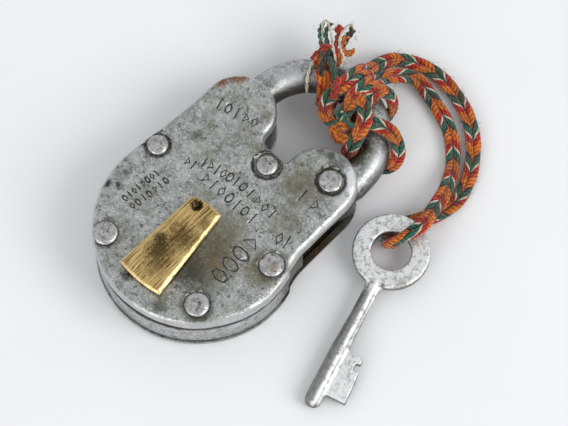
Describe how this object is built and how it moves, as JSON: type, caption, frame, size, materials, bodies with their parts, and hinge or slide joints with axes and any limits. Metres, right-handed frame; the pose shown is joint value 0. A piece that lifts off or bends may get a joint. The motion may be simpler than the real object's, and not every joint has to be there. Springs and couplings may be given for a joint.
{
  "type": "padlock",
  "caption": "Small round-bodied riveted padlock with a hinged shackle, a swinging brass key cover and a loose key tied to the shackle by a braided cord.",
  "frame": {"origin": "centre of the round body on the back plate's outer face; the padlock lies on its back", "axes": "+Y towards the shackle, +Z out of the front plate, +X towards the horn that holds the shackle's hinge rivet"},
  "size_m": [0.0636, 0.081, 0.0152],
  "materials": {
    "front_plate": "weathered zinc-coated steel",
    "back_plate": "weathered zinc-coated steel",
    "rim_band": "worn zinc-coated steel",
    "notch_band": "weathered zinc-coated steel",
    "rivet_flank_left": "worn steel",
    "rivet_low_left": "worn steel",
    "rivet_low_right": "worn steel",
    "rivet_flank_right": "worn steel",
    "rivet_top": "worn steel",
    "shackle_rivet": "worn steel",
    "cover_pin": "dark steel",
    "key_cover": "worn, scratched",
    "shackle": "mottled zinc-coated steel",
    "bolt": "dark oiled steel",
    "bolt_spring": "spring steel",
    "bolt_rest": "dark steel",
    "ward_ring": "dark steel",
    "key": "pitted cast light alloy",
    "knot": "knotted wool braid",
    "cord": "braided wool yarns",
    "yarn_end_green": "wool yarn",
    "yarn_end_red": "wool yarn",
    "yarn_end_black": "wool yarn",
    "yarn_end_orange": "wool yarn",
    "yarn_loop_cream": "cotton thread"
  },
  "bodies": {
    "case": {"front_plate": "front_plate", "back_plate": "back_plate", "rim_band": "rim_band", "notch_band": "notch_band", "rivet_flank_left": "rivet_flank_left", "rivet_low_left": "rivet_low_left", "rivet_low_right": "rivet_low_right", "rivet_flank_right": "rivet_flank_right", "rivet_top": "rivet_top", "shackle_rivet": "shackle_rivet", "cover_pin": "cover_pin", "bolt_spring": "bolt_spring", "bolt_rest": "bolt_rest", "ward_ring": "ward_ring"},
    "shackle": {"shackle": "shackle", "knot": "knot", "yarn_end_green": "yarn_end_green", "yarn_end_red": "yarn_end_red", "yarn_end_black": "yarn_end_black", "yarn_end_orange": "yarn_end_orange", "yarn_loop_cream": "yarn_loop_cream"},
    "bolt": {"bolt": "bolt"},
    "key_cover": {"key_cover": "key_cover"},
    "key": {"key": "key", "cord": "cord"}
  },
  "joints": [
    {"name": "shackle_hinge", "type": "hinge", "parent": "case", "child": "shackle", "pos_m": [0.0124, 0.0246, 0.0065], "axis": [0, 0, 1], "range_deg": [-110, 0]},
    {"name": "key_swing", "type": "hinge", "parent": "shackle", "child": "key", "pos_m": [0.004, 0.0425, 0.0065], "axis": [0, 0, 1], "range_deg": [0, 110], "deforming": ["cord"]},
    {"name": "bolt_slide", "type": "slide", "parent": "case", "child": "bolt", "axis": [-1, 0, 0], "range_m": [0, 0.0036]},
    {"name": "cover_swing", "type": "hinge", "parent": "case", "child": "key_cover", "pos_m": [-0.001, 0.0026, 0.01385], "axis": [0, 0, 1], "range_deg": [-110, 110]}
  ],
  "couplings": [
    {"joint": "key_swing", "follows": "shackle_hinge", "ratio": -1}
  ]
}
